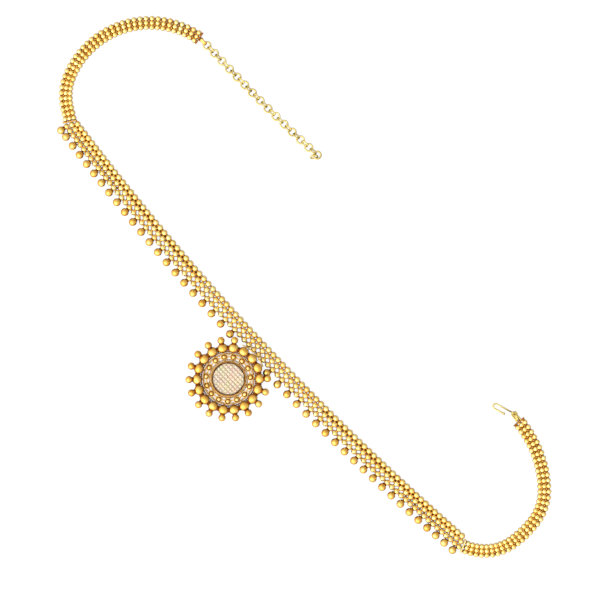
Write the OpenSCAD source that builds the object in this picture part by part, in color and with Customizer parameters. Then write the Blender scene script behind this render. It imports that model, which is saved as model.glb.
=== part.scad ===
// Oddiyanam waist belt, laid flat with its face up.
// The pendant's back is centred on the origin, X runs along the front band,
// Y points to the belt's upper edge, and Z points away from the body.

/* [Front band] */
// Diameter of a front bead
bead_d = 4.2; // [3.8:0.05:4.2]
// Half the length of the middle row, centre to centre
band_half = 223.6; // [223:0.1:224]
// Half the length of the lower row, centre to centre
lower_half = 225; // [224.4:0.1:225]
// Share by which the middle row's beads stand wider apart at its middle
swell = 0.052; // [0:0.004:0.052]
// The same share in the lower row
lower_swell = 0.068; // [0:0.004:0.068]
// Upper row to middle row
row_gap_1 = 4.2; // [4.2:0.05:4.5]
// Middle row to lower row
row_gap_2 = 4.45; // [4.4:0.05:4.7]
// Share by which the rows draw together at the ends
row_taper = 0.05; // [0:0.01:0.05]
// Diameter of the link wires between beads
link_d = 1.0; // [0.8:0.1:1.2]

/* [Drops] */
// Diameter of a drop
drop_d = 6.2; // [5.4:0.1:6.2]
// Beads by which the drops run on from every second bead at the band's ends
drop_drift = 0.5; // [0:0.1:0.5]
// Swing of the drop that the pendant pushes aside
pushed_swing = 16; // [16:1:20]

/* [Side straps] */
// Diameter of a strap bead
strap_bead_d = 3.6; // [3.56:0.02:3.64]
// Distance of the beads across a bar
bar_pitch = 3.5; // [3.42:0.02:3.5]
// Bars in the left strap
bars_left = 36; // [30:1:36]
// Bars in the right strap
bars_right = 35; // [30:1:35]
// Share by which the left strap's bars stand closer at its start
spread_left = 0.08; // [0:0.01:0.09]
// The same share in the right strap
spread_right = 0.05; // [0:0.01:0.05]

/* [Plates and connectors] */
// Thickness of the flat plates that end a strap
plate_t = 0.8; // [0.6:0.1:1]
// Length of a plate across the strap
plate_w = 10.4; // [9:0.2:11]
// Height of a plate
plate_h = 3.0; // [2.4:0.1:3.2]
// Outer diameter of the eye on an end plate
eye_d = 3.7; // [3.4:0.1:4]
// Outer length of a connector loop
connector_l = 5.8; // [5.7:0.05:5.9]
// Outer width of a connector loop
connector_w = 3.2; // [3:0.1:3.3]
// Wire of the connector loops, the eyes and the jump ring
loop_wire = 0.76; // [0.6:0.02:0.8]

/* [Extension chain] */
// Rings in the chain
rings = 15; // [10:1:16]
// Outer diameter of a ring
ring_d = 6.74; // [6:0.1:7.2]
// Wire of a ring
ring_wire = 1.0; // [0.8:0.1:1.1]
// Mean distance from ring to ring
ring_pitch = 8.71; // [8.5:0.01:8.9]
// Distance by which the middle rings lie nearer to the belt
chain_slack = 0.85; // [0:0.05:0.9]
// Outer length of a connecting link
link_l = 6.4; // [6.2:0.1:6.8]
// Outer width of a connecting link
link_w = 4.0; // [3.8:0.1:4.2]
// Wire of a connecting link
link_wire = 0.85; // [0.7:0.05:0.9]
// Lean of a link from flat
link_lean = 50; // [45:5:60]

/* [Hook] */
// Straight length of the hook's long leg
hook_leg = 14.2; // [12:0.2:18]
// Straight length of its free leg
hook_return = 8.5; // [6:0.5:11]
// Distance between the two legs
hook_gap = 4.0; // [3.4:0.1:5]
// Wire of the hook
hook_wire = 1.0; // [0.8:0.1:1.2]
// Outer diameter of the hook's eye
hook_eye_d = 3.2; // [3:0.1:3.3]
// Wire of the hook's eye
hook_eye_wire = 0.84; // [0.7:0.02:0.86]
// Diameter of the rounded tip
hook_tip_d = 1.7; // [1.2:0.1:2]

/* [Pendant] */
// Inner diameter of the bezel
bezel_in = 25; // [24:0.2:25.4]
// Outer diameter of the bezel
bezel_out = 27; // [26.6:0.1:27.4]
// Height of the bezel
bezel_h = 7.2; // [6.4:0.1:8]
// Balls in the pierced ring
bosses = 15; // [12:1:15]
// Distance of those balls from the centre
boss_r = 17.6; // [17.2:0.1:17.8]
// Diameter of such a ball
boss_d = 4.0; // [3.4:0.1:4.2]
// Diameter of the collar that it sits in
collar_d = 5.4; // [5:0.1:5.8]
// Middle radius of the outer rim
rim_r = 19.9; // [19.5:0.1:20.4]
// Height of the outer rim
rim_h = 3.8; // [3:0.1:4.4]
// Large beads in the crown
crown_beads = 18; // [16:1:18]
// Distance of the large beads from the centre
crown_r = 24.4; // [24.2:0.1:24.6]
// Diameter of a large bead
crown_bead_d = 7.2; // [6.6:0.1:7.4]
// Height of the crown's centre above the back
crown_z = 6.4; // [6.2:0.1:6.8]
// Distance of the outer beads from the centre
outer_r = 30.7; // [30.4:0.1:31]
// Diameter of an outer bead
outer_bead_d = 5.6; // [5:0.1:5.8]
// Large beads with no outer bead, where the band passes
bare_beads = 3; // [3:2:5]
// Turn of the pendant about its centre
crown_turn = 2.8; // [2:0.2:3]
// Half the angle that the bracket wire spans
bracket_span = 24; // [20:1:26]

/* [Stones] */
// Distance from stone to stone
stone_pitch = 2.7; // [2.4:0.1:3]
// Gap between two stones
stone_gap = 0.2; // [0.15:0.05:0.3]
// Height of a stone
stone_h = 1.7; // [1.4:0.1:2]
// Share of a stone's width that its table takes
table_share = 0.56; // [0.5:0.02:0.7]

/* [Hidden] */
ring_names = [for (i = [1:rings]) str("extension_ring_", i)];
link_names = [for (i = [1:rings - 1]) str("extension_link_", i)];

gold = "#E3B23C";
deep_gold = "#D08F2E";
pale_gold = "#D9C36A";
rose_gold = "#D9A066";
stone_white = "#F3EBDD";

// Clearance between pieces that meet
gap = 0.12;
// Smoothness of round pieces
smooth = 48;
// Sides of a link wire
wire_sides = 5;
// Turn of a bead about its own axis, so that its seam keeps clear of the wires
seam_turn = 30;

bead_r = bead_d / 2;
drop_r = drop_d / 2;
strap_bead_r = strap_bead_d / 2;
// Beads in the middle row; the upper row has one less and the lower row two more
front_beads = 88;
lower_beads = front_beads + 2;
// The band's two halves meet after this bead of the middle row
split_bead = 44;
// The bow that the upper row follows: its radius and its lowest point
bow_r = 2143;
bow_x = 11.7;
bow_y = 38.52;
// Distance of the rows' middles from the bow's lowest point, along the bow
band_mid = -17.3;

// Drop places along the lower row, and those that the pendant takes
drop_places = 46;
first_hidden = 23;
hidden_drops = 3;

// Left strap, from its junction plate: one row for each bend
// length, turn to the left in degrees
left_bends = [
  [10, 5.5],
  [25, -35.6],
  [20, -18],
  [30, -24.9],
  [72.8, -61.2]];
left_start = [-231.9, 48.7];
left_heading = 146;

// Right strap, from its junction plate: one row for each bend
// length, turn to the left in degrees
right_bends = [
  [20, 27.3],
  [22, 34.5],
  [20, 12.5],
  [30, 42.4],
  [57.1, 37.3]];
right_start = [221.9, 43.05];
right_heading = 22;

// First and last bar from the plates at a strap's ends
left_margin = 2.45;
right_margin = 3.1;
plate_z = 0.4;

// The chain lies straight along X and lifts towards its free end
chain_start = [-201.3, 167.7];
chain_lift = 3.6;
// Height at which all loops thread through each other
loop_z = 1.68;

jump_ring_d = 3.96;
jump_ring_at = [174.6, 143.98];
jump_ring_z = 1.88;
hook_heading = 198;
// Distance of the hook's eye from the jump ring's centre
hook_hang = 1.8;

tray_r = 11.6;
ledge_z = 3.8;
bed_t = 1.1;
bed_r = bezel_in / 2 - gap;
back_t = 1;
bezel_round = 0.35;
collar_h = 4.6;
collar_wall = 0.5;
collar_floor = 3.2;
boss_z = 4.4;
rim_w = 1;
strut_d = 1.8;
neck_d = 2;
bracket_r = 28.7;
bracket_z = 5;
bracket_d = 1;
// Height of the outer beads above the crown's centre, which lets a drop lie below them
outer_lift = 1;
pendant_ring_d = 5.8;
pendant_ring_wire = 0.56;

// A point on the band: arc length from the bow's lowest point, distance below
// the upper row, height
function on_bow(s, below, z) =
  let (a = s / bow_r * 180 / PI)
  [bow_x + (bow_r + below) * sin(a), bow_y + bow_r - (bow_r + below) * cos(a), z];

// Share along a row, -1 to 1, of place n counted from the left
function share(n, beads) = 2 * n / (beads - 1) - 1;

function row_s(u, half, wider) = band_mid + half * ((1 + wider) * u - wider * pow(u, 3));

function row_below(u, gap_above) = gap_above * (1 - row_taper * pow(u, 2));

function middle_place(n, below, z) =
  let (u = share(n, front_beads))
  on_bow(row_s(u, band_half, swell), row_below(u, below), z);

function lower_s(n) = row_s(share(n, lower_beads), lower_half, lower_swell);

function lower_below(n) = row_below(share(n, lower_beads), row_gap_1 + row_gap_2);

// Bead n of the upper row, which sits between two of the middle row, of the
// middle row, or of the lower row
function upper_bead(n) = middle_place(n + 0.5, 0, bead_r);
function middle_bead(n) = middle_place(n, row_gap_1, bead_r);
function lower_bead(n) = on_bow(lower_s(n), lower_below(n), bead_r);

// Place of a drop along the lower row, counted in beads
function drop_n(place) =
  let (u = share(place - 1, drop_places))
  max(0, 2 * place - 3 - drop_drift * pow(u, 3));

function drop_reach() = sqrt(pow(bead_r + drop_r + gap, 2) - pow(drop_r - bead_r, 2));

function drop_at(place) =
  let (
    n = drop_n(place),
    b = on_bow(lower_s(n), lower_below(n), 0),
    pushed = place == first_hidden + hidden_drops,
    lean = (lower_s(n) / bow_r) * 180 / PI - (pushed ? pushed_swing : 0))
  [b[0] + drop_reach() * sin(lean), b[1] - drop_reach() * cos(lean), drop_r];

function last_place(half) =
  half == 0 ? first_hidden - 1 : drop_places;

function first_place(half) =
  half == 0 ? 1 : first_hidden + hidden_drops;

// A place on a strap: x, y and heading at a distance s from its start
function along(bends, s, at, heading, n = 0) =
  let (
    length = bends[n][0],
    curve = bends[n][1] / length,
    here = n == len(bends) - 1 ? s : min(s, length),
    end = arc_end(at, heading, curve, here))
  s <= length || n == len(bends) - 1
    ? end
    : along(bends, s - length, [end[0], end[1]], end[2], n + 1);

function arc_end(at, heading, curve, s) =
  let (r = 180 / (PI * curve), turned = heading + curve * s)
  [at[0] + r * (sin(turned) - sin(heading)), at[1] - r * (cos(turned) - cos(heading)), turned];

function total(bends, n = 0) =
  n == len(bends) ? 0 : bends[n][0] + total(bends, n + 1);

function strap(side, s) =
  side == "left"
    ? along(left_bends, s, left_start, left_heading)
    : along(right_bends, s, right_start, right_heading);

function strap_length(side) = total(side == "left" ? left_bends : right_bends);

function bars(side) = side == "left" ? bars_left : bars_right;

function bar_s(side, n) =
  let (
    share = n / (bars(side) - 1),
    margin = side == "left" ? left_margin : right_margin,
    spread = side == "left" ? spread_left : spread_right)
  margin + (strap_length(side) - 2 * margin) * (share - spread * share * (1 - share));

// Bead k of a bar, -1 to 1 from right to left of the heading
function strap_bead(side, n, k) =
  let (p = strap(side, bar_s(side, n)))
  [p[0] - bar_pitch * k * sin(p[2]), p[1] + bar_pitch * k * cos(p[2]), strap_bead_r];

function ahead(place, x, y) =
  [place[0] + x * cos(place[2]) - y * sin(place[2]),
   place[1] + x * sin(place[2]) + y * cos(place[2])];

// How far a point lies to the left of a place's heading
function across(place, point) =
  (point[1] - place[1]) * cos(place[2]) - (point[0] - place[0]) * sin(place[2]);

function ring_at(n) =
  let (share = n / (rings - 1))
  [chain_start[0] + ring_pitch * n - chain_slack * sin(180 * share),
   chain_start[1] + chain_lift * pow(share, 3)];

function toward(a, b) = atan2(b[1] - a[1], b[0] - a[0]);

// Angle of large bead n from the band-side axis, which is +Y
function crown_angle(n) = crown_turn + 360 / crown_beads * n;

function polar(r, angle, z) = [r * sin(angle), r * cos(angle), z];

module bead(at, r, turn = seam_turn) {
  translate(at) rotate([0, 0, turn]) sphere(r = r, $fn = smooth);
}

// A straight wire from a to b, cut short by the given lengths
module wire(a, b, d, cut_a = 0, cut_b = 0) {
  v = b - a;
  l = norm(v);
  translate(a)
    rotate([0, acos(v[2] / l), atan2(v[1], v[0])])
      translate([0, 0, cut_a])
        cylinder(h = l - cut_a - cut_b, d = d, $fn = wire_sides);
}

// A link between two beads that are soldered to it, or that stops short of b
module bead_link(a, b, r_a, r_b, d, free = false) {
  sunk = 0.45;
  wire(a, b, d, r_a - sunk, free ? r_b + gap : r_b - sunk);
}

// A round ring lying flat, centred on the origin
module wire_ring(outer_d, wire_d) {
  rotate_extrude($fn = smooth)
    translate([(outer_d - wire_d) / 2, 0])
      circle(d = wire_d, $fn = 36);
}

// A long link lying flat along X, centred on the origin
module oval_link(length, width, wire_d) {
  r = (width - wire_d) / 2;
  half = (length - width) / 2;
  for (end = [-1, 1])
    translate([end * half, 0, 0])
      rotate([0, 0, end * 90 - 90])
        rotate([0, 0, -90])
          rotate_extrude(angle = 180, $fn = smooth)
            translate([r, 0])
              circle(d = wire_d, $fn = smooth / 2);
  for (side = [-1, 1])
    translate([-half, side * r, 0])
      rotate([0, 90, 0])
        cylinder(h = 2 * half, d = wire_d, $fn = smooth / 2);
}

// Beads soldered in a row, with the last link free if the other half follows
module bead_row(beads, next) {
  last = len(beads) - 1;
  for (n = [0:last])
    bead(beads[n], bead_r);
  for (n = [1:1:last])
    bead_link(beads[n - 1], beads[n], bead_r, bead_r, link_d);
  if (next != undef)
    bead_link(beads[last], next, bead_r, bead_r, link_d, true);
}

module front_band_half(half) {
  first = half == 0 ? 0 : split_bead + 1;
  last = half == 0 ? split_bead : front_beads - 1;
  upper_last = half == 0 ? last : last - 1;
  lower_first = half == 0 ? 0 : first + 1;
  lower_last = half == 0 ? last + 1 : lower_beads - 1;
  color(gold) {
    bead_row([for (n = [first:upper_last]) upper_bead(n)],
             half == 0 ? upper_bead(upper_last + 1) : undef);
    bead_row([for (n = [first:last]) middle_bead(n)],
             half == 0 ? middle_bead(last + 1) : undef);
    bead_row([for (n = [lower_first:lower_last]) lower_bead(n)],
             half == 0 ? lower_bead(lower_last + 1) : undef);
    for (n = [first:upper_last])
      for (side = [0, 1])
        bead_link(upper_bead(n), middle_bead(n + side), bead_r, bead_r, link_d,
                  n + side > last);
    for (n = [first:last])
      bead_link(middle_bead(n), lower_bead(n + 1), bead_r, bead_r, link_d);
  }
}

module front_band_left() front_band_half(0);
module front_band_right() front_band_half(1);

module drops(half) {
  color(deep_gold)
    for (place = [first_place(half):last_place(half)])
      bead(drop_at(place), drop_r);
}

module drops_left() drops(0);
module drops_right() drops(1);

module side_strap(side) {
  last = bars(side) - 1;
  color(gold) {
    for (n = [0:last])
      for (k = [-1:1])
        bead(strap_bead(side, n, k), strap_bead_r, strap(side, bar_s(side, n))[2] + 45);
    for (n = [0:last - 1])
      for (k = [-1:1])
        bead_link(strap_bead(side, n, k), strap_bead(side, n + 1, k),
                  strap_bead_r, strap_bead_r, link_d);
  }
}

module side_strap_left() side_strap("left");
module side_strap_right() side_strap("right");

module plate(place) {
  translate([place[0], place[1], plate_z])
    rotate([0, 0, place[2]])
      translate([-plate_t / 2, -plate_w / 2, 0])
        cube([plate_t, plate_w, plate_h]);
}

// A peg from the plate to a bead, which it stops short of
module peg(place, across, z, target, r) {
  foot = ahead(place, 0, across);
  wire([foot[0], foot[1], z], target, link_d, 0, r + gap);
}

module junction_plate(side) {
  place = strap(side, 0);
  reach = (plate_w - link_d) / 2;
  band_ends = side == "left"
    ? [upper_bead(0), middle_bead(0), lower_bead(0)]
    : [upper_bead(front_beads - 2), middle_bead(front_beads - 1), lower_bead(lower_beads - 1)];
  color(gold) {
    plate(place);
    for (k = [-1:1])
      peg(place, k * bar_pitch, strap_bead_r, strap_bead(side, 0, k), strap_bead_r);
    for (end = band_ends)
      peg(place, max(-reach, min(reach, across(place, end))), bead_r, end, bead_r);
  }
}

module junction_plate_left() junction_plate("left");
module junction_plate_right() junction_plate("right");

function eye_at(side) =
  ahead(strap(side, strap_length(side)), plate_t / 2 + (eye_d - loop_wire) / 2 - 0.2, 0);

module end_plate(side) {
  place = strap(side, strap_length(side));
  eye = eye_at(side);
  color(gold) {
    plate(place);
    for (k = [-1:1])
      peg(place, k * bar_pitch, strap_bead_r, strap_bead(side, bars(side) - 1, k), strap_bead_r);
    translate([eye[0], eye[1], loop_z])
      rotate([0, 0, place[2] + 45])
        wire_ring(eye_d, loop_wire);
  }
}

module end_plate_left() end_plate("left");
module end_plate_right() end_plate("right");

// Two upright loops side by side, from the middle of an eye to the ring beyond it
module connector(from, to) {
  heading = toward(from, to);
  centre = (connector_l - loop_wire) / 2 - gap;
  color(deep_gold)
    for (side = [-1, 1])
      translate([from[0], from[1], loop_z])
        rotate([0, 0, heading])
          translate([centre, side * (loop_wire + gap) / 2, 0])
            rotate([90, 0, 0])
              oval_link(connector_l, connector_w, loop_wire);
}

module connector_left() connector(eye_at("left"), ring_at(0));
module connector_right() connector(eye_at("right"), jump_ring_at);

module jump_ring() {
  color(gold)
    translate([jump_ring_at[0], jump_ring_at[1], jump_ring_z])
      wire_ring(jump_ring_d, loop_wire);
}

module hook() {
  r = hook_gap / 2;
  z = hook_tip_d / 2;
  eye_r = (hook_eye_d - hook_eye_wire) / 2;
  color(pale_gold)
    translate([jump_ring_at[0], jump_ring_at[1], 0])
      rotate([0, 0, hook_heading])
        translate([hook_hang, 0, 0]) {
          translate([0, 0, z + eye_r])
            rotate([90, 0, 0])
              wire_ring(hook_eye_d, hook_eye_wire);
          translate([0, 0, z])
            rotate([0, 90, 0])
              cylinder(h = hook_leg, d = hook_wire, $fn = smooth);
          translate([hook_leg, r, z])
            rotate([0, 0, -90])
              rotate_extrude(angle = 180, $fn = smooth)
                translate([r, 0])
                  circle(d = hook_wire, $fn = smooth);
          translate([hook_leg - hook_return, hook_gap, z])
            rotate([0, 90, 0])
              cylinder(h = hook_return, d = hook_wire, $fn = smooth);
          bead([hook_leg - hook_return, hook_gap, z], hook_tip_d / 2, 90);
        }
}

module extension_ring(n) {
  at = ring_at(n);
  color(pale_gold)
    translate([at[0], at[1], loop_z])
      wire_ring(ring_d, ring_wire);
}

// The link from ring n to the next one, leaning to one side and then the other
module extension_link(n) {
  a = ring_at(n);
  b = ring_at(n + 1);
  lean = n % 2 == 0 ? link_lean : -link_lean;
  color(pale_gold)
    translate([(a[0] + b[0]) / 2, (a[1] + b[1]) / 2, loop_z])
      rotate([0, 0, toward(a, b)])
        rotate([lean, 0, 0])
          oval_link(link_l, link_w, link_wire);
}

// A spare link on the last ring
module extension_end_link() {
  at = ring_at(rings - 1);
  foot = (ring_d - ring_wire) / 2;
  around = -105;
  turn = 68;
  color(pale_gold)
    translate([at[0] + foot * cos(around), at[1] + foot * sin(around), loop_z])
      rotate([0, 0, around + 90 + turn])
        rotate([link_lean, 0, 0])
          oval_link(link_l, link_w, link_wire);
}

// The closed cup that holds the stones, with a ledge for their bed
module bezel_cup() {
  r_in = bezel_in / 2;
  r_out = bezel_out / 2;
  rotate_extrude($fn = 96)
    polygon([
      [0, 0], [r_out, 0],
      [r_out, bezel_h - bezel_round], [r_out - bezel_round, bezel_h],
      [r_in + bezel_round, bezel_h], [r_in, bezel_h - bezel_round],
      [r_in, ledge_z], [tray_r, ledge_z],
      [tray_r, back_t], [0, back_t]]);
}

// A ball in its collar
module boss() {
  r = collar_d / 2;
  rotate_extrude($fn = smooth)
    polygon([
      [0, 0], [r, 0], [r, collar_h], [r - collar_wall, collar_h],
      [r - collar_wall, collar_floor], [0, collar_floor]]);
  translate([0, 0, boss_z])
    rotate([0, 0, seam_turn])
      sphere(d = boss_d, $fn = smooth);
}

module pierced_ring() {
  step = 360 / bosses;
  first = 180 + crown_turn;
  inner = bezel_out / 2 - 0.3;
  strut_l = boss_r - collar_d / 2 - inner + 0.4;
  neck_l = 2 * boss_r * sin(step / 2) - collar_d + 0.6;
  strut_h = 2.4;
  for (n = [0:bosses - 1])
    rotate([0, 0, -(first + step * n)]) {
      translate([0, boss_r, 0]) boss();
      translate([-0.8, inner, 0]) cube([1.6, strut_l, strut_h]);
      rotate([0, 0, step / 2])
        translate([-neck_l / 2, boss_r * cos(step / 2) - 0.5, 0])
          cube([neck_l, 1, strut_h]);
    }
  rotate_extrude($fn = 96)
    translate([rim_r - rim_w / 2, 0])
      square([rim_w, rim_h]);
}

// Large beads on struts, joined neck to neck, with the outer beads on them
module crown() {
  large_r = crown_bead_d / 2;
  outer_bead_r = outer_bead_d / 2;
  for (n = [0:crown_beads - 1]) {
    here = polar(crown_r, crown_angle(n), crown_z);
    next = polar(crown_r, crown_angle(n + 1), crown_z);
    foot = polar(rim_r, crown_angle(n), rim_h - 1);
    bead(here, large_r, 135 - crown_angle(n));
    bead_link(here, next, large_r, large_r, neck_d);
    wire(foot, here, strut_d, 0, large_r - 0.6);
  }
  bare = (bare_beads - 1) / 2;
  for (n = [bare + 1:crown_beads - bare - 1]) {
    here = polar(crown_r, crown_angle(n), crown_z);
    outer = polar(outer_r, crown_angle(n), crown_z + outer_lift);
    bead(outer, outer_bead_r, 135 - crown_angle(n));
    bead_link(here, outer, large_r, outer_bead_r, neck_d);
  }
}

// The wire in front of the three bare beads, which the band hangs on
module bracket() {
  translate([0, 0, bracket_z])
    rotate([0, 0, 90 - bracket_span])
      rotate_extrude(angle = 2 * bracket_span, $fn = 96)
        translate([bracket_r, 0])
          circle(d = bracket_d, $fn = smooth / 2);
  for (n = [-1:1]) {
    here = polar(crown_r, crown_angle(n), crown_z);
    there = polar(bracket_r, crown_angle(n), bracket_z);
    wire(here, there, 0.8, crown_bead_d / 2 - 0.4, 0.1);
  }
}

module pendant_frame() {
  color(rose_gold) {
    bezel_cup();
    pierced_ring();
  }
  color(deep_gold) {
    crown();
    bracket();
  }
}

module pendant_stone_bed() {
  color(pale_gold)
    translate([0, 0, ledge_z + gap])
      cylinder(h = bed_t, r = bed_r, $fn = 96);
}

// A square with cut corners, kept inside the field's edge
function stone_outline(x, y, width, limit) =
  let (h = width / 2, c = h * 0.62)
  [for (p = [[h, -c], [h, c], [c, h], [-c, h], [-h, c], [-h, -c], [-c, -h], [c, -h]])
    let (q = [x + p[0], y + p[1]], d = norm(q))
    d > limit ? q * limit / d : q];

// A stone cut with a table and eight crown facets
module stone(x, y) {
  field_r = bed_r - 0.15;
  width = stone_pitch - stone_gap;
  low = stone_outline(x, y, width, field_r);
  top = stone_outline(x, y, width * table_share, field_r - width * (1 - table_share) / 2);
  layers = [[low, 0], [low, stone_h * 0.45], [top, stone_h]];
  points = [for (l = layers) for (p = l[0]) [p[0], p[1], l[1]]];
  sides = [for (l = [0, 1]) for (i = [0:7])
    let (a = 8 * l + i, b = 8 * l + (i + 1) % 8) [a, a + 8, b + 8, b]];
  polyhedron(points, concat([[for (i = [0:7]) i]], sides, [[for (i = [7:-1:0]) 16 + i]]));
}

module pendant_stones() {
  reach = 4;
  color(stone_white)
    translate([0, 0, ledge_z + bed_t + 2 * gap])
      for (i = [-reach:reach])
        for (j = [-reach:reach])
          if (i * i + j * j <= reach * reach + 2)
            stone(i * stone_pitch, j * stone_pitch);
}

// A small ring round the bracket wire and the lower row's link after bead n
module pendant_ring(n) {
  a = lower_bead(n);
  b = lower_bead(n + 1);
  link = (a + b) / 2;
  angle = asin(link[0] / bracket_r);
  held = polar(bracket_r, angle, bracket_z);
  centre = (link + [link[0], held[1], bracket_z]) / 2;
  color(gold)
    translate(centre)
      rotate([0, 90, 0])
        wire_ring(pendant_ring_d, pendant_ring_wire);
}

module pendant_ring_left() pendant_ring(split_bead);
module pendant_ring_right() pendant_ring(split_bead + 2);

front_band_left();
front_band_right();
drops_left();
drops_right();
junction_plate_left();
junction_plate_right();
side_strap_left();
side_strap_right();
end_plate_left();
end_plate_right();
connector_left();
connector_right();
jump_ring();
hook();
pendant_frame();
pendant_stone_bed();
pendant_stones();
pendant_ring_left();
pendant_ring_right();
extension_end_link();
for (i = [1:rings])
  extension_ring(i - 1);
for (i = [1:rings - 1])
  extension_link(i - 1);
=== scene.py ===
# Waist belt of gold beads with a stone-set pendant: finishes, fine pieces, light and camera
import math

import bmesh
import bpy
from mathutils import Matrix, Vector


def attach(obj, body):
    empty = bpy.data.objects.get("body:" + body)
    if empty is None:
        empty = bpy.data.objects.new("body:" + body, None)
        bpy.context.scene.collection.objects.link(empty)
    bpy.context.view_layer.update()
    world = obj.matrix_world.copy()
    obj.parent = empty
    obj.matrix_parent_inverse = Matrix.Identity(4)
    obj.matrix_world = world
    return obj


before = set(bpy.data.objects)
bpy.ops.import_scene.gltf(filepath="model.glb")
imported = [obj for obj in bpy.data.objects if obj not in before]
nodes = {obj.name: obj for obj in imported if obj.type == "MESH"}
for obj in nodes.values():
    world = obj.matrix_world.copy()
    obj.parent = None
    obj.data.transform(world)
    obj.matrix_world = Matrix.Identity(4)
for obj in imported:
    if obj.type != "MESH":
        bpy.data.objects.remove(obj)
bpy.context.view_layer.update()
scene = bpy.context.scene
mm = 0.001
weld = 0.000002     # metres within which two points of a mesh are one
up = Vector((0, 0, 1))
print("frame loaded:", len(nodes), "nodes")


# One socket of a material, so that shader maths reads as plain sums
class Flow:
    def __init__(self, finish, socket):
        self.finish = finish
        self.socket = socket

    def sum(self, operation, first, second=0.0, clamped=False):
        settings = {"operation": operation, "use_clamp": clamped}
        return self.finish.add("ShaderNodeMath", settings, {0: first, 1: second})

    def __add__(self, other):
        return self.sum("ADD", self, other)

    def __radd__(self, other):
        return self.sum("ADD", other, self)

    def __sub__(self, other):
        return self.sum("SUBTRACT", self, other)

    def __rsub__(self, other):
        return self.sum("SUBTRACT", other, self)

    def __mul__(self, other):
        return self.sum("MULTIPLY", self, other)

    def __rmul__(self, other):
        return self.sum("MULTIPLY", other, self)

    def clamped(self):
        return self.sum("ADD", self, 0.0, clamped=True)


# A material or a sky that is put together node by node
class Finish:
    def __init__(self, holder):
        holder.use_nodes = True
        self.holder = holder
        self.tree = holder.node_tree
        self.tree.nodes.clear()

    def add(self, kind, settings=None, inputs=None, output=0):
        node = self.tree.nodes.new(kind)
        for key, value in (settings or {}).items():
            if key == "stops":
                ramp = node.color_ramp
                while len(ramp.elements) < len(value):
                    ramp.elements.new(0.5)
                for element, (place, colour) in zip(ramp.elements, value):
                    element.position = place
                    element.color = (*colour, 1.0)
            else:
                setattr(node, key, value)
        for key, value in (inputs or {}).items():
            if isinstance(value, Flow):
                self.tree.links.new(value.socket, node.inputs[key])
            elif isinstance(value, tuple) and node.inputs[key].type == "RGBA":
                node.inputs[key].default_value = (*value, 1.0)
            else:
                node.inputs[key].default_value = value
        return Flow(self, node.outputs[output]) if node.outputs else None

    def mix(self, factor, first, second, blend="MIX"):
        settings = {"data_type": "RGBA", "blend_type": blend}
        return self.add("ShaderNodeMix", settings, {0: factor, 6: first, 7: second}, output=2)

    def close(self, shader, kind="ShaderNodeOutputMaterial"):
        self.add(kind, None, {"Surface": shader})
        return self.holder


# What every gold shares
allGold = {
    "grainAtEdge": 0.35,        # how much the grain frays the painted shade's edge
    "patchesInBump": 0.6,
    "bumpDepth": 0.0001,        # metres
    "paintedShadeRoughness": 0.18,
    "innerBorder": 2000.0,      # 1 / metres that a border takes to change over
    "litSideBorder": 1000.0,
}


# The way from the pendant's middle to a place, seen from above, and its length
def fromMiddle(finish, place):
    flat = finish.add("ShaderNodeVectorMath", {"operation": "MULTIPLY"},
                      {0: place, 1: (1.0, 1.0, 0.0)})
    return flat, finish.add("ShaderNodeVectorMath", {"operation": "LENGTH"}, {0: flat}, output=1)


# How far the painted shade is taken off the sides that face outwards, away from the pendant's
# middle, or one way, so that these sides look lit: painted light
def paintedLitSide(finish, place, facing, litSide):
    flat, reach = fromMiddle(finish, place)
    outward = litSide["way"] or finish.add(
        "ShaderNodeVectorMath", {"operation": "NORMALIZE"}, {0: flat})
    along = finish.add(
        "ShaderNodeVectorMath", {"operation": "DOT_PRODUCT"}, {0: facing, 1: outward}, output=1)
    side = ((along - litSide["from"]) * litSide["slope"]).clamped()
    beyond = ((reach - litSide["beyond"]) * allGold["litSideBorder"]).clamped()
    return side * beyond * litSide["amount"]


# Gold in patches of tone, with painted shade: bright on top, where a face turns up, and darker
# down the sides and in the hollows, where it turns away
def goldFinish(name, look):
    finish = Finish(bpy.data.materials.new(name))
    place = finish.add("ShaderNodeTexCoord", output=3)
    facing = finish.add("ShaderNodeTexCoord", output=1)
    rise = finish.add("ShaderNodeSeparateXYZ", None, {0: facing}, output=2)
    patches = finish.add("ShaderNodeTexNoise", None, {
        "Vector": place, "Scale": look["patchScale"], "Detail": 2.0, "Roughness": 0.5})
    grain = finish.add("ShaderNodeTexNoise", None, {
        "Vector": place, "Scale": look["grainScale"], "Detail": 3.0, "Roughness": 0.6})
    shade = finish.add("ShaderNodeValToRGB", {"stops": look["shades"]}, {0: patches})
    if "inner" in look:
        reach = fromMiddle(finish, place)[1]
        outside = ((reach - look["innerRadius"]) * allGold["innerBorder"]).clamped()
        inner = finish.add("ShaderNodeValToRGB", {"stops": look["inner"]}, {0: patches})
        shade = finish.mix(outside, inner, shade)
    # Painted shade: the colour darkens as a face turns away from up, down each bead's sides
    low, high = look["paintedShadeFrom"], look["paintedShadeTo"]
    frayed = rise + allGold["grainAtEdge"] * (grain - 0.5)
    upFacing = ((frayed - low) * (1 / (high - low))).clamped()
    paintedShade = (1 - upFacing) * look["paintedShade"]
    # Painted light: the painted shade is taken off the sides that face outwards or towards the key
    # box
    if "litSide" in look:
        paintedShade = paintedShade * (1 - paintedLitSide(finish, place, facing, look["litSide"]))
    shadedColour = finish.mix(paintedShade, shade, look["paintedShadeColour"])
    bump = finish.add("ShaderNodeBump", None, {
        "Strength": look["bump"], "Distance": allGold["bumpDepth"],
        "Height": grain + allGold["patchesInBump"] * patches})
    shader = finish.add("ShaderNodeBsdfPrincipled", None, {
        "Base Color": shadedColour, "Metallic": 1.0, "Specular Tint": look["edge"], "Normal": bump,
        "Roughness": (look["roughness"] + look["grainRoughness"] * grain
                      + allGold["paintedShadeRoughness"] * paintedShade)})
    return finish.close(shader)


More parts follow.
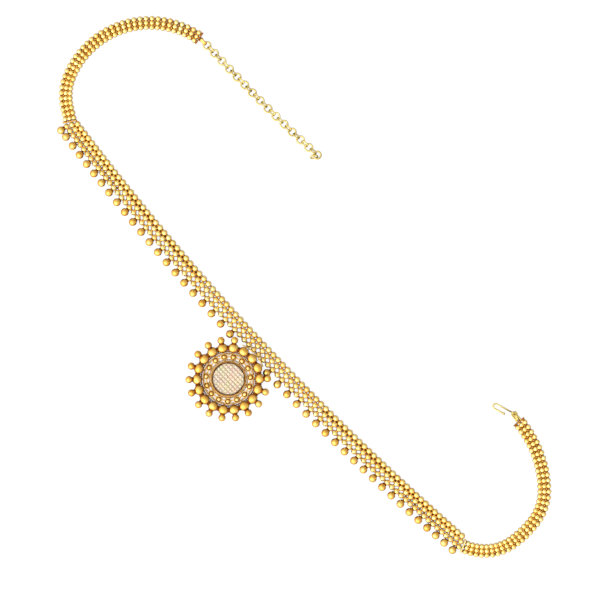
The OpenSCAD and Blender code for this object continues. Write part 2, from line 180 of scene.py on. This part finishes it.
roseShades = [(0.30, (0.82, 0.46, 0.11)), (0.52, (0.92, 0.58, 0.18)), (0.70, (1.0, 0.72, 0.28))]
deepShades = [(0.30, (0.82, 0.43, 0.07)), (0.52, (0.93, 0.57, 0.13)), (0.70, (1.0, 0.72, 0.24))]
# In each look, paintedShade with its colour and its from and to set the painted shade down the
# sides
goldLooks = {
    "beadGold": {
        "edge": (0.62, 0.34, 0.10),
        "patchScale": 140.0, "grainScale": 1600.0, "bump": 0.05,
        "shades": [
            (0.30, (0.95, 0.65, 0.18)), (0.52, (1.0, 0.76, 0.27)),
            (0.70, (1.0, 0.85, 0.38))],
        "paintedShade": 0.88, "paintedShadeColour": (0.25, 0.08, 0.01), "paintedShadeFrom": 0.18, "paintedShadeTo": 0.54,
        "roughness": 0.32, "grainRoughness": 0.16},
    "dropGold": {
        "edge": (0.45, 0.16, 0.03),
        "patchScale": 120.0, "grainScale": 1400.0, "bump": 0.06,
        "shades": deepShades,
        # Painted light: the drops' painted shade is left off their sides that face -Y, towards the
        # key box
        "litSide": {
            "amount": 0.9, "from": 0.15, "slope": 2.4, "beyond": 0.034, "way": (0.0, -1.0, 0.0)},
        "paintedShade": 0.97, "paintedShadeColour": (0.17, 0.028, 0.003), "paintedShadeFrom": 0.22, "paintedShadeTo": 0.66,
        "roughness": 0.28, "grainRoughness": 0.18},
    "pendantGold": {
        "edge": (0.45, 0.16, 0.03),
        "patchScale": 120.0, "grainScale": 1400.0, "bump": 0.06,
        "shades": deepShades,
        "inner": roseShades, "innerRadius": 0.0208,
        # Painted light: the painted shade is left off the outward sides of the pendant's beads
        "litSide": {"amount": 0.9, "from": 0.15, "slope": 2.4, "beyond": 0.0292, "way": None},
        "paintedShade": 0.97, "paintedShadeColour": (0.17, 0.028, 0.003), "paintedShadeFrom": 0.22, "paintedShadeTo": 0.66,
        "roughness": 0.28, "grainRoughness": 0.18},
    "chainGold": {
        "edge": (0.60, 0.44, 0.16),
        "patchScale": 90.0, "grainScale": 1500.0, "bump": 0.05,
        "shades": [
            (0.30, (0.58, 0.45, 0.13)), (0.52, (0.70, 0.56, 0.19)),
            (0.70, (0.82, 0.68, 0.27))],
        "paintedShade": 0.8, "paintedShadeColour": (0.30, 0.19, 0.03), "paintedShadeFrom": 0.1, "paintedShadeTo": 0.8,
        "roughness": 0.30, "grainRoughness": 0.16},
    "roseGold": {
        "edge": (0.50, 0.22, 0.06),
        "patchScale": 160.0, "grainScale": 1500.0, "bump": 0.08, "shades": roseShades,
        "paintedShade": 0.8, "paintedShadeColour": (0.34, 0.12, 0.03), "paintedShadeFrom": 0.1, "paintedShadeTo": 0.7,
        "roughness": 0.24, "grainRoughness": 0.16},
    # A dark gold: painted shade in the band's gaps and on the straps' collars; also the end
    # plates, end grains and outer wire
    "darkGold": {
        "edge": (0.35, 0.12, 0.02),
        "patchScale": 200.0, "grainScale": 1800.0, "bump": 0.1,
        "shades": [
            (0.30, (0.30, 0.09, 0.01)), (0.52, (0.42, 0.15, 0.02)),
            (0.72, (0.56, 0.25, 0.05))],
        "paintedShade": 0.8, "paintedShadeColour": (0.14, 0.035, 0.005), "paintedShadeFrom": 0.1, "paintedShadeTo": 0.8,
        "roughness": 0.38, "grainRoughness": 0.2},
    # Dark red-brown: painted contact shade on the collars and caps where beads meet
    "umberGold": {
        "edge": (0.20, 0.05, 0.01),
        "patchScale": 200.0, "grainScale": 1800.0, "bump": 0.1,
        "shades": [
            (0.30, (0.20, 0.045, 0.005)), (0.52, (0.28, 0.075, 0.01)),
            (0.72, (0.40, 0.14, 0.025))],
        "paintedShade": 0.6, "paintedShadeColour": (0.10, 0.018, 0.002), "paintedShadeFrom": 0.1, "paintedShadeTo": 0.8,
        "roughness": 0.40, "grainRoughness": 0.2},
    # A darker gold: painted shade on the band's collars and in the straps' gaps, and the left
    # plate's bar
    "solderShadeGold": {
        "edge": (0.45, 0.20, 0.04),
        "patchScale": 200.0, "grainScale": 1800.0, "bump": 0.1,
        "shades": [
            (0.30, (0.50, 0.22, 0.04)), (0.52, (0.64, 0.33, 0.08)),
            (0.72, (0.78, 0.47, 0.14))],
        "paintedShade": 0.8, "paintedShadeColour": (0.26, 0.08, 0.012), "paintedShadeFrom": 0.1, "paintedShadeTo": 0.8,
        "roughness": 0.36, "grainRoughness": 0.2},
    # Near black-brown: the painted shadow ring round the stones
    "shadowBrown": {
        "edge": (0.10, 0.03, 0.01),
        "patchScale": 200.0, "grainScale": 1800.0, "bump": 0.1,
        "shades": [
            (0.30, (0.05, 0.014, 0.003)), (0.52, (0.08, 0.024, 0.006)),
            (0.72, (0.14, 0.05, 0.014))],
        "paintedShade": 0.4, "paintedShadeColour": (0.05, 0.015, 0.005), "paintedShadeFrom": 0.1, "paintedShadeTo": 0.7,
        "roughness": 0.42, "grainRoughness": 0.2},
    "foilGold": {
        "edge": (0.60, 0.48, 0.34),
        "patchScale": 300.0, "grainScale": 1800.0, "bump": 0.1,
        "shades": [
            (0.30, (0.66, 0.54, 0.38)), (0.52, (0.78, 0.65, 0.47)),
            (0.72, (0.88, 0.76, 0.58))],
        "paintedShade": 0.3, "paintedShadeColour": (0.30, 0.18, 0.08), "paintedShadeFrom": 0.1, "paintedShadeTo": 0.7,
        "roughness": 0.4, "grainRoughness": 0.2},
}
finishes = {name: goldFinish(name, look) for name, look in goldLooks.items()}


# Cut stones over foil: warm white, each with its own faint tint
stoneLook = {
    "colour": (0.67, 0.53, 0.37), "tint": 0.12, "tintScale": 380.0,
    "lift": 0.7,        # how far each facet is turned towards the light from above
    "roughness": 0.22, "ior": 1.7,
}


def stoneFinish(look):
    finish = Finish(bpy.data.materials.new("whiteStone"))
    place = finish.add("ShaderNodeTexCoord", output=3)
    tint = finish.add("ShaderNodeTexVoronoi", None,
                      {"Vector": place, "Scale": look["tintScale"]}, output=1)
    colour = finish.mix(look["tint"], look["colour"], tint)
    facing = finish.add("ShaderNodeTexCoord", output=1)
    lifted = finish.add("ShaderNodeVectorMath", {"operation": "ADD"},
                        {0: facing, 1: (0.0, 0.0, look["lift"])})
    softened = finish.add("ShaderNodeVectorMath", {"operation": "NORMALIZE"}, {0: lifted})
    shader = finish.add("ShaderNodeBsdfPrincipled", None, {
        "Base Color": colour, "Roughness": look["roughness"], "IOR": look["ior"],
        "Normal": softened})
    return finish.close(shader)


finishes["whiteStone"] = stoneFinish(stoneLook)

nodeFinish = {
    "front_band": "beadGold", "side_strap": "beadGold", "junction_plate": "beadGold",
    "end_plate": "darkGold", "jump_ring": "beadGold", "pendant_ring": "beadGold",
    "drops": "dropGold", "connector": "dropGold", "pendant_frame": "pendantGold",
    "hook": "chainGold", "extension": "chainGold", "pendant_stone_bed": "foilGold",
    "pendant_stones": "whiteStone",
}
for nodeName, node in nodes.items():
    best = max((key for key in nodeFinish if nodeName.startswith(key)), key=len)
    node.data.materials.clear()
    node.data.materials.append(finishes[nodeFinish[best]])
print("finishes on the CAD nodes")

# Sizes of the belt in millimetres, as in the part's source
belt = {
    "bead": 4.2, "bandHalf": 223.6, "lowerHalf": 225.0, "swell": 0.052, "lowerSwell": 0.068,
    "rowGap1": 4.2, "rowGap2": 4.45, "taper": 0.05, "bandMid": -17.3, "split": 44,
    "bowRadius": 2143.0, "bowX": 11.7, "bowY": 38.52, "frontBeads": 88, "lowerBeads": 90,
}
dropRow = {
    "drop": 6.2, "drift": 0.5, "places": 46, "firstHidden": 23, "hidden": 3, "pushed": 16.0,
    "gap": 0.12,
}
straps = {
    "left": {
        "bends": [(10, 5.5), (25, -35.6), (20, -18), (30, -24.9), (72.8, -61.2)],
        "start": (-231.9, 48.7), "heading": 146.0, "bars": 36, "margin": 2.45, "spread": 0.08},
    "right": {
        "bends": [(20, 27.3), (22, 34.5), (20, 12.5), (30, 42.4), (57.1, 37.3)],
        "start": (221.9, 43.05), "heading": 22.0, "bars": 35, "margin": 3.1, "spread": 0.05},
}
strapBead = {"size": 3.6, "pitch": 3.5}


def onBow(s, below, z):
    angle = s / belt["bowRadius"]
    reach = belt["bowRadius"] + below
    return Vector((
        belt["bowX"] + reach * math.sin(angle),
        belt["bowY"] + belt["bowRadius"] - reach * math.cos(angle), z))


def rowPlace(n, beads, half, swell, below):
    u = 2 * n / (beads - 1) - 1
    s = belt["bandMid"] + half * ((1 + swell) * u - swell * u ** 3)
    return s, below * (1 - belt["taper"] * u * u)


def middlePlace(n, below):
    s, gapBelow = rowPlace(n, belt["frontBeads"], belt["bandHalf"], belt["swell"], below)
    return onBow(s, gapBelow, belt["bead"] / 2)


def upperBead(n):
    return middlePlace(n + 0.5, 0)


def middleBead(n):
    return middlePlace(n, belt["rowGap1"])


def lowerPlace(n):
    below = belt["rowGap1"] + belt["rowGap2"]
    return rowPlace(n, belt["lowerBeads"], belt["lowerHalf"], belt["lowerSwell"], below)


def lowerBead(n):
    return onBow(*lowerPlace(n), belt["bead"] / 2)


def dropPlace(place):
    u = 2 * (place - 1) / (dropRow["places"] - 1) - 1
    n = max(0, 2 * place - 3 - dropRow["drift"] * u ** 3)
    beadR, dropR = belt["bead"] / 2, dropRow["drop"] / 2
    reach = math.sqrt((beadR + dropR + dropRow["gap"]) ** 2 - (dropR - beadR) ** 2)
    s, below = lowerPlace(n)
    foot = onBow(s, below, 0)
    lean = s / belt["bowRadius"]
    if place == dropRow["firstHidden"] + dropRow["hidden"]:
        lean -= math.radians(dropRow["pushed"])
    drop = foot + Vector((reach * math.sin(lean), -reach * math.cos(lean), dropR))
    return onBow(s, below, beadR), drop


# Where a strap is at distance s from its plate: x, y and heading in radians
def strapAt(strap, s):
    x, y = strap["start"]
    heading = math.radians(strap["heading"])
    for number, (length, turn) in enumerate(strap["bends"]):
        last = number == len(strap["bends"]) - 1
        here = s if last else min(s, length)
        curve = math.radians(turn) / length
        turned = heading + curve * here
        x += (math.sin(turned) - math.sin(heading)) / curve
        y -= (math.cos(turned) - math.cos(heading)) / curve
        heading = turned
        s -= here
        if s <= 0:
            break
    return x, y, heading


def strapBeadAt(strap, n, k):
    length = sum(bend[0] for bend in strap["bends"])
    share = n / (strap["bars"] - 1)
    s = strap["margin"] + (length - 2 * strap["margin"]) * (
        share - strap["spread"] * share * (1 - share))
    x, y, heading = strapAt(strap, s)
    side = strapBead["pitch"] * k
    return Vector((
        x - side * math.sin(heading), y + side * math.cos(heading), strapBead["size"] / 2))


# Makes one object of a finished bmesh and puts it on the belt
def addPiece(name, mesh, finish):
    bmesh.ops.recalc_face_normals(mesh, faces=mesh.faces[:])
    for face in mesh.faces:
        face.smooth = True
    data = bpy.data.meshes.new(name)
    mesh.to_mesh(data)
    mesh.free()
    piece = bpy.data.objects.new(name, data)
    scene.collection.objects.link(piece)
    data.materials.append(finishes[finish])
    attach(piece, "root")
    print("piece", name, len(data.polygons), "faces")
    return piece


# A round collar about Z, in millimetres
def collarMesh(radius, wire, around=12, sides=5):
    mesh = bmesh.new()
    bmesh.ops.create_circle(mesh, segments=sides, radius=wire)
    bmesh.ops.rotate(mesh, verts=mesh.verts, matrix=Matrix.Rotation(math.pi / 2, 3, "X"))
    bmesh.ops.translate(mesh, verts=mesh.verts, vec=(radius, 0, 0))
    bmesh.ops.spin(
        mesh, geom=mesh.verts[:] + mesh.edges[:], axis=(0, 0, 1), cent=(0, 0, 0),
        angle=2 * math.pi, steps=around, use_merge=True)
    bmesh.ops.remove_doubles(mesh, verts=mesh.verts, dist=0.0001)
    return mesh


# Copies a small shape to each place; a place is a point, the way its Z looks, and a size
def copiesOf(shape, places):
    data = bpy.data.meshes.new("pattern")
    shape.to_mesh(data)
    shape.free()
    mesh = bmesh.new()
    for point, way, size in places:
        before = len(mesh.verts)
        mesh.from_mesh(data)
        mesh.verts.ensure_lookup_table()
        turn = way.to_track_quat("Z", "Y").to_matrix().to_4x4()
        matrix = Matrix.Scale(mm, 4) @ Matrix.Translation(point) @ turn @ Matrix.Scale(size, 4)
        bmesh.ops.transform(mesh, matrix=matrix, verts=mesh.verts[before:])
    bpy.data.meshes.remove(data)
    return mesh


def between(a, b, share=0.5):
    return a.lerp(b, share), b - a, 1.0


# Collars where the front band's beads are soldered to each other; their darker gold is painted
# contact shade between the beads
bandCollars = {"radius": 0.80, "wire": 0.36}
rightStart = belt["split"] + 1
for half, first, last in (
        ("Left", 0, belt["split"]), ("Right", rightStart, belt["frontBeads"] - 1)):
    shift = 1 if half == "Right" else 0     # the lower row's right half starts a bead later
    end = min(last, belt["frontBeads"] - 2)
    links = []
    for n in range(first, last + 1):
        links.append(between(middleBead(n), lowerBead(n + 1)))
        if n <= end:
            links.append(between(upperBead(n), middleBead(n)))
            links.append(between(upperBead(n), middleBead(n + 1)))
            links.append(between(middleBead(n), middleBead(n + 1)))
            if n < end:
                links.append(between(upperBead(n), upperBead(n + 1)))
        links.append(between(lowerBead(n + shift), lowerBead(n + 1 + shift)))
    addPiece("bandCollars" + half, copiesOf(collarMesh(**bandCollars), links),
             "solderShadeGold")

# One small round grain, 1 mm in radius before it is sized
grainShape = {"segments": 8, "rings": 6}


def grainMesh():
    mesh = bmesh.new()
    bmesh.ops.create_uvsphere(
        mesh, u_segments=grainShape["segments"], v_segments=grainShape["rings"], radius=1.0)
    return mesh


def grainAt(corners, z, size):
    middle = sum(corners, Vector()) / len(corners)
    middle.z = z
    return middle, up, size


# Dark grains low down in the gaps between the rows, away from the middle of the band: painted
# shade that fills the gaps
bandGrains = {"z": 1.25, "size": 0.8, "bareMiddle": 0.30, "lowerSize": 1.05, "lowerBare": 0.72}
for half, first, last in (
        ("Left", 0, belt["split"] - 1), ("Right", rightStart, belt["frontBeads"] - 3)):
    grains = []
    for n in range(first, last + 1):
        along = abs(2 * n / (belt["frontBeads"] - 1) - 1)
        if along > bandGrains["bareMiddle"]:
            for corners in ([upperBead(n), middleBead(n), middleBead(n + 1)],
                            [upperBead(n), upperBead(n + 1), middleBead(n + 1)]):
                grains.append(grainAt(corners, bandGrains["z"], bandGrains["size"]))
        if along > bandGrains["lowerBare"]:
            corners = [middleBead(n), middleBead(n + 1), lowerBead(n + 1), lowerBead(n + 2)]
            grains.append(grainAt(corners, bandGrains["z"], bandGrains["lowerSize"]))
    addPiece("bandGrains" + half, copiesOf(grainMesh(), grains), "darkGold")

# A polished skin on the upper row, whose beads are the band's largest
upperSkins = {"radius": 2.34, "segments": 20, "rings": 12}
for half, first, last in (
        ("Left", 0, belt["split"]), ("Right", rightStart, belt["frontBeads"] - 2)):
    skin = bmesh.new()
    bmesh.ops.create_uvsphere(
        skin, u_segments=upperSkins["segments"], v_segments=upperSkins["rings"],
        radius=upperSkins["radius"])
    row = []
    for n in range(first, last + 1):
        place = upperBead(n)
        place.z = upperSkins["radius"]
        row.append((place, up, 1.0))
    addPiece("upperSkins" + half, copiesOf(skin, row), "beadGold")

# How much thicker than its solid each piece is drawn, all round, in millimetres
skins = {"band": 0.13, "strap": 0.20, "chain": 0.16, "rightLinks": 0.20, "leftLinks": 0.50}


# The shapes of some nodes, drawn a little thicker
def thickened(names, extra):
    mesh = bmesh.new()
    for name in names:
        mesh.from_mesh(nodes[name].data)
    bmesh.ops.remove_doubles(mesh, verts=mesh.verts, dist=weld)
    bmesh.ops.recalc_face_normals(mesh, faces=mesh.faces[:])
    mesh.normal_update()
    for vert in mesh.verts:
        vert.co += vert.normal * extra * mm
    return mesh


for half in straps:
    addPiece("bandSkin" + half.title(), thickened(["front_band_" + half], skins["band"]),
             "beadGold")
    addPiece("strapSkin" + half.title(), thickened(["side_strap_" + half], skins["strap"]),
             "beadGold")
chainNames = [name for name in nodes if name.startswith(("extension", "hook"))]
addPiece("chainSkin", thickened(chainNames, skins["chain"]), "chainGold")
addPiece("linkSkinRight", thickened(["jump_ring", "connector_right"], skins["rightLinks"]),
         "chainGold")
addPiece("linkSkinLeft", thickened(["connector_left"], skins["leftLinks"]),
         "dropGold")

# Collars between the bars of the side straps, in dark gold that is partly painted shade in the
# gaps
strapCollars = {"radius": 0.72, "wire": 0.32}
for half, strap in straps.items():
    links = [
        between(strapBeadAt(strap, n, k), strapBeadAt(strap, n + 1, k))
        for n in range(strap["bars"] - 1) for k in (-1, 0, 1)]
    addPiece("strapCollars" + half.title(), copiesOf(collarMesh(**strapCollars), links),
             "darkGold")

# Grains in the gaps between the bars: painted shade that darkens the gaps
strapGrains = {"z": 1.35, "size": 1.15}
for half, strap in straps.items():
    grains = [
        grainAt([strapBeadAt(strap, n + a, k + b) for a in (0, 1) for b in (0, 1)],
                strapGrains["z"], strapGrains["size"])
        for n in range(strap["bars"] - 1) for k in (-1, 0)]
    addPiece("strapGrains" + half.title(), copiesOf(grainMesh(), grains), "solderShadeGold")

# Grains between each strap's first and last bars and the plates beside them
endGrains = {"z": 1.5, "size": 1.45, "share": 0.3}
grains = []
for strap in straps.values():
    length = sum(bend[0] for bend in strap["bends"])
    inset = endGrains["share"] * strap["margin"]
    for distance in (2 * inset, length - inset):
        x, y, heading = strapAt(strap, distance)
        across = Vector((-math.sin(heading), math.cos(heading), 0)) * strapBead["pitch"]
        middle = Vector((x, y, endGrains["z"]))
        grains += [(middle + across * k, up, endGrains["size"]) for k in (-1, 0, 1)]
addPiece("endGrains", copiesOf(grainMesh(), grains), "darkGold")

# A cap where each drop hangs, in dark umber: painted contact shade where drop and bead meet
dropCaps = {"radius": 1.35, "wire": 0.50, "clear": 0.2}
gone = range(dropRow["firstHidden"], dropRow["firstHidden"] + dropRow["hidden"])
hangers = []
for place in range(1, dropRow["places"] + 1):
    if place not in gone:
        beadAt, dropAt = dropPlace(place)
        share = (belt["bead"] / 2 + dropCaps["clear"]) / (dropAt - beadAt).length
        hangers.append(between(beadAt, dropAt, share))
addPiece("dropCaps", copiesOf(collarMesh(dropCaps["radius"], dropCaps["wire"]), hangers),
         "umberGold")

# Sizes of the pendant in millimetres, as in the part's source
pendant = {
    "turn": 2.8, "bosses": 15, "bossRadius": 17.6, "collarTop": 4.6,
    "crown": 18, "crownRadius": 24.4, "crownBead": 7.2, "crownHeight": 6.4,
    "outerRadius": 30.7, "outerBead": 5.6, "outerLift": 1.0, "bare": 1,
}
crownStep = 360 / pendant["crown"]
bossStep = 360 / pendant["bosses"]


def polar(radius, degrees, z):
    angle = math.radians(degrees)
    return Vector((radius * math.sin(angle), radius * math.cos(angle), z))


def crownPlace(n):
    return polar(
        pendant["crownRadius"], pendant["turn"] + crownStep * n, pendant["crownHeight"])


# Round wires along paths, in millimetres, as one mesh
def wireMesh(paths, thickness, closed=True, sides=1):
    curve = bpy.data.curves.new("wires", "CURVE")
    curve.dimensions = "3D"
    curve.bevel_depth = thickness / 2 * mm
    curve.bevel_resolution = sides
    curve.use_fill_caps = not closed
    for path in paths:
        spline = curve.splines.new("POLY")
        spline.points.add(len(path) - 1)
        for point, place in zip(spline.points, path):
            point.co = (*(place * mm), 1.0)
        spline.use_cyclic_u = closed
    holder = bpy.data.objects.new("wires", curve)
    data = bpy.data.meshes.new_from_object(holder)
    mesh = bmesh.new()
    mesh.from_mesh(data)
    bmesh.ops.remove_doubles(mesh, verts=mesh.verts, dist=weld)
    bpy.data.objects.remove(holder)
    bpy.data.curves.remove(curve)
    bpy.data.meshes.remove(data)
    return mesh


# Two strands twisted round each other along a circle
def ropePaths(radius, z, strand, turns, steps=9):
    paths = []
    for start in (0, 180):
        path = []
        for step in range(turns * steps):
            twist = math.radians(start + 360 * step / steps)
            path.append(polar(
                radius + strand / 2 * math.cos(twist), 360 * step / (turns * steps),
                z + strand / 2 * math.sin(twist)))
        paths.append(path)
    return paths


# A long loop over the links at the right end, between the jump ring and the end plate
longLoop = {"from": (174.6, 142.9), "to": (182.6, 142.7), "width": 3.2, "wire": 1.25, "z": 2.2}


def loopPath(look, steps=12):
    first, last = Vector((*look["from"], look["z"])), Vector((*look["to"], look["z"]))
    along = (last - first).normalized()
    across = Vector((-along.y, along.x, 0)) * look["width"] / 2
    path = []
    for end, way in ((last, 1), (first, -1)):
        for step in range(steps + 1):
            angle = math.pi * step / steps
            path.append(
                end - across * math.cos(angle) * way
                + along * math.sin(angle) * way * look["width"] / 2)
    return path


addPiece("longLoop", wireMesh([loopPath(longLoop)], longLoop["wire"], sides=3),
         "chainGold")

# A wire along the top of each junction plate, bright on the right and dull on the left
plateBars = {
    "half": 5.7, "z": 3.45, "wire": 1.25, "steps": 8,
    "finish": {"left": "solderShadeGold", "right": "beadGold"},
}
for half, strap in straps.items():
    x, y, heading = strapAt(strap, 0)
    across = Vector((-math.sin(heading), math.cos(heading), 0)) * plateBars["half"]
    middle = Vector((x, y, plateBars["z"]))
    bar = [
        middle + across * (2 * step / plateBars["steps"] - 1)
        for step in range(plateBars["steps"] + 1)]
    addPiece("plateBar" + half.title(), wireMesh([bar], plateBars["wire"], closed=False, sides=3),
             plateBars["finish"][half])

# Ropes of two wires on the bezel and on the pierced ring's rim
ropes = {
    "bezelRope": {"radius": 13.95, "z": 5.9, "strand": 0.52, "turns": 54},
    "rimRope": {"radius": 19.7, "z": 4.15, "strand": 0.6, "turns": 64},
}
for name, rope in ropes.items():
    addPiece(name, wireMesh(ropePaths(**rope), rope["strand"]), "roseGold")

# A thin ring on the collar of each boss
bossAngles = [180 + pendant["turn"] + bossStep * n for n in range(pendant["bosses"])]
bossRings = {"radius": 2.62, "wire": 0.30, "around": 28, "sides": 8}
rings = [
    (polar(pendant["bossRadius"], angle, pendant["collarTop"]), up, 1.0)
    for angle in bossAngles]
addPiece("bossRings", copiesOf(collarMesh(**bossRings), rings), "roseGold")

# The dark ring round the stones, a painted shadow of the bezel's inner wall, and plain wires
# inside and outside the pierced ring's collars: sizes, height and finish
hoops = {
    "bezelShadowRing": (
        {"radius": 12.65, "wire": 0.43, "around": 96, "sides": 10}, 7.06, "shadowBrown"),
    "innerWire": ({"radius": 15.0, "wire": 0.40, "around": 96, "sides": 8}, 3.0, "roseGold"),
    "outerWire": ({"radius": 21.25, "wire": 0.48, "around": 120, "sides": 8}, 3.4, "darkGold"),
}
for name, (sizes, z, finish) in hoops.items():
    hoop = copiesOf(collarMesh(**sizes), [(Vector((0, 0, z)), up, 1.0)])
    addPiece(name, hoop, finish)

# A grain between each two collars, against the rim
galleryGrains = {"radius": 19.0, "z": 3.6, "size": 0.6}
grains = [
    (polar(galleryGrains["radius"], angle + bossStep / 2, galleryGrains["z"]),
     up, galleryGrains["size"])
    for angle in bossAngles]
addPiece("galleryGrains", copiesOf(grainMesh(), grains), "pendantGold")

# Oval shells over the crown's beads, longer towards each other
ovalBead = {"along": 4.17, "across": 3.66, "segments": 40, "rings": 24}


def ovalMesh():
    mesh = bmesh.new()
    bmesh.ops.create_uvsphere(
        mesh, u_segments=ovalBead["segments"], v_segments=ovalBead["rings"], radius=1.0)
    bmesh.ops.scale(mesh, verts=mesh.verts,
                    vec=(ovalBead["across"], ovalBead["across"], ovalBead["along"]))
    return mesh


ovals = []
for n in range(pendant["crown"]):
    tangent = polar(1.0, pendant["turn"] + crownStep * n + 90, 0)
    ovals.append((crownPlace(n), tangent, 1.0))
addPiece("crownBeads", copiesOf(ovalMesh(), ovals), "dropGold")

# Collars between the crown's beads, in dark umber: painted contact shade where they meet
crownCollars = {"radius": 2.0, "wire": 0.50, "around": 24, "sides": 10}
joints = [between(crownPlace(n), crownPlace(n + 1)) for n in range(pendant["crown"])]
addPiece("crownCollars", copiesOf(collarMesh(**crownCollars), joints), "umberGold")

# Collars that carry the outer beads, in dark umber as painted contact shade; the beads of the
# crown behind the band carry none
outerCollars = {"radius": 1.55, "wire": 0.55, "around": 20, "sides": 8}
toJoint = pendant["crownBead"] / (pendant["crownBead"] + pendant["outerBead"])
joints = []
for n in range(pendant["bare"] + 1, pendant["crown"] - pendant["bare"]):
    there = polar(pendant["outerRadius"], pendant["turn"] + crownStep * n,
                  pendant["crownHeight"] + pendant["outerLift"])
    joints.append(between(crownPlace(n), there, toJoint))
addPiece("outerCollars", copiesOf(collarMesh(**outerCollars), joints), "umberGold")

# Pale floor: it shows the camera mostly plain white, and grey to the belt's reflections
floorLook = {
    "half": 4.0, "colour": (0.62, 0.61, 0.59), "white": (1.0, 1.0, 1.0), "glow": 1.15,
    "shown": 0.8,       # share of plain white that the camera sees
}
floorMesh = bmesh.new()
bmesh.ops.create_grid(floorMesh, x_segments=1, y_segments=1, size=floorLook["half"])
floorData = bpy.data.meshes.new("floor")
floorMesh.to_mesh(floorData)
floorMesh.free()
floor = bpy.data.objects.new("floor", floorData)
scene.collection.objects.link(floor)
floorFinish = Finish(bpy.data.materials.new("floorWhite"))
floorDiffuse = floorFinish.add("ShaderNodeBsdfDiffuse", None, {"Color": floorLook["colour"]})
floorGlow = floorFinish.add("ShaderNodeEmission", None, {
    "Color": floorLook["white"], "Strength": floorLook["glow"]})
floorSeen = floorFinish.add("ShaderNodeLightPath", output=0)
floorMix = floorFinish.add("ShaderNodeMixShader", None, {
    0: floorLook["shown"] * floorSeen, 1: floorDiffuse, 2: floorGlow})
floorData.materials.append(floorFinish.close(floorMix))

# A large soft box in front of the belt; places in metres
keyBox = {
    "size": 2.0, "at": (0.0, -1.25, 1.2), "aim": (0.0, 0.08, 0.0),
    "power": 28.0, "colour": (1.0, 0.99, 0.97),
}
lamp = bpy.data.lights.new("keyBox", "AREA")
lamp.shape, lamp.size, lamp.size_y = "RECTANGLE", keyBox["size"], keyBox["size"]
lamp.energy, lamp.color = keyBox["power"], keyBox["colour"]
box = bpy.data.objects.new("keyBox", lamp)
scene.collection.objects.link(box)
box.location = keyBox["at"]
towardsBelt = Vector(keyBox["aim"]) - Vector(keyBox["at"])
box.rotation_euler = towardsBelt.to_track_quat("-Z", "Y").to_euler()
print("floor and light set")

# A bright tent overhead that darkens towards its foot, more so on the belt's upper side
tent = {
    "ceiling": (1.0, 0.99, 0.97), "strength": 1.28,
    "foot": [(0.0, 0.22), (0.12, 0.58), (0.35, 0.95), (0.90, 1.0)],
    "side": [(0.0, 1.35), (0.5, 0.95), (1.0, 0.35)],
}
world = bpy.data.worlds.new("studio")
scene.world = world
sky = Finish(world)
towards = sky.add("ShaderNodeTexCoord", output=0)
upward = sky.add("ShaderNodeSeparateXYZ", None, {0: towards}, output=2)
sideways = sky.add("ShaderNodeSeparateXYZ", None, {0: towards}, output=1)
height = sky.add("ShaderNodeValToRGB", {
    "stops": [(at, (level, level, level)) for at, level in tent["foot"]]}, {0: upward})
side = sky.add("ShaderNodeValToRGB", {
    "stops": [(at, (level, level, level)) for at, level in tent["side"]]},
    {0: 0.5 + 0.5 * sideways})
glow = sky.mix(1.0, height, side, "MULTIPLY")
light = sky.mix(1.0, glow, tent["ceiling"], "MULTIPLY")
sky.close(sky.add("ShaderNodeBackground", None, {"Color": light, "Strength": tent["strength"]}),
          "ShaderNodeOutputWorld")

# Camera straight above, turned as the photograph is; aim and width of view in millimetres
cameraSetup = {
    "turn": 46.5, "aim": (-6.25, 83.2, 3.0), "width": 470.4, "lens": 120.0, "sensor": 36.0}
lens = bpy.data.cameras.new("overhead")
lens.lens, lens.sensor_width = cameraSetup["lens"], cameraSetup["sensor"]
camera = bpy.data.objects.new("overhead", lens)
scene.collection.objects.link(camera)
aim = Vector(cameraSetup["aim"]) * mm
cameraHeight = cameraSetup["width"] * mm * cameraSetup["lens"] / cameraSetup["sensor"]
camera.location = aim + Vector((0, 0, cameraHeight))
camera.rotation_euler = (0.0, 0.0, math.radians(cameraSetup["turn"]))
scene.camera = camera
scene.view_settings.view_transform = "Standard"
